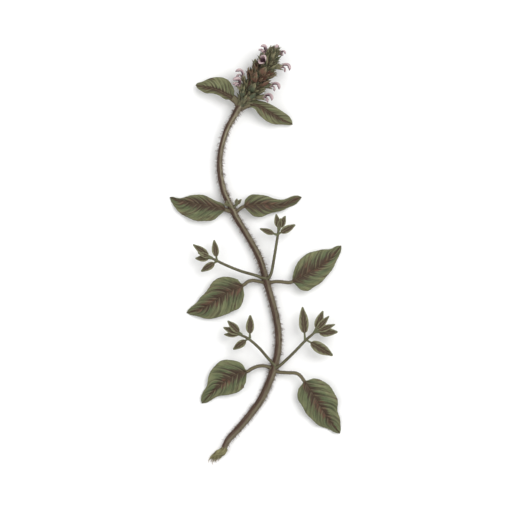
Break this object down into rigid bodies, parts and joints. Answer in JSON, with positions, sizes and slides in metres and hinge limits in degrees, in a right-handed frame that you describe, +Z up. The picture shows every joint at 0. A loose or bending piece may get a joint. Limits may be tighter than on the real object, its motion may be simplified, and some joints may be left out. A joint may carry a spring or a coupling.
{
  "type": "self-heal sprig",
  "caption": "Cut herb sprig lying flat: squarish curved stem with paired stalked leaves and side shoots, a rooted foot, and a dense spike of toothed calyces with hooded lilac flowers.",
  "frame": {"origin": "centre of the bounding box's underside, on the surface that the sprig lies on", "axes": "+Y from the root towards the flower spike, +X across the sprig to its right, +Z up from the surface"},
  "size_m": [0.0864, 0.2104, 0.0186],
  "materials": {
    "stem": "matte",
    "root": "matte",
    "leaf": "matte",
    "shoot": "matte",
    "spike": "matte",
    "petal": "matte"
  },
  "bodies": {
    "root": {"main_stem": "stem", "root_tuft": "root", "leaf_lower_left": "leaf", "leaf_lower_right": "leaf", "leaf_middle_left": "leaf", "leaf_middle_right": "leaf", "leaf_upper_left": "leaf", "leaf_upper_right": "leaf", "leaf_spike_left": "leaf", "leaf_spike_right": "leaf", "shoot_lower_left": "shoot", "shoot_lower_right": "shoot", "shoot_middle_left": "shoot", "shoot_middle_right": "shoot", "bud_upper_left": "shoot", "bud_upper_right": "shoot", "flower_spike": "spike", "corolla_01": "petal", "corolla_02": "petal", "corolla_03": "petal", "corolla_04": "petal", "corolla_05": "petal", "corolla_06": "petal", "corolla_07": "petal", "corolla_08": "petal", "corolla_09": "petal", "corolla_10": "petal", "corolla_11": "petal", "corolla_12": "petal"}
  },
  "joints": []
}
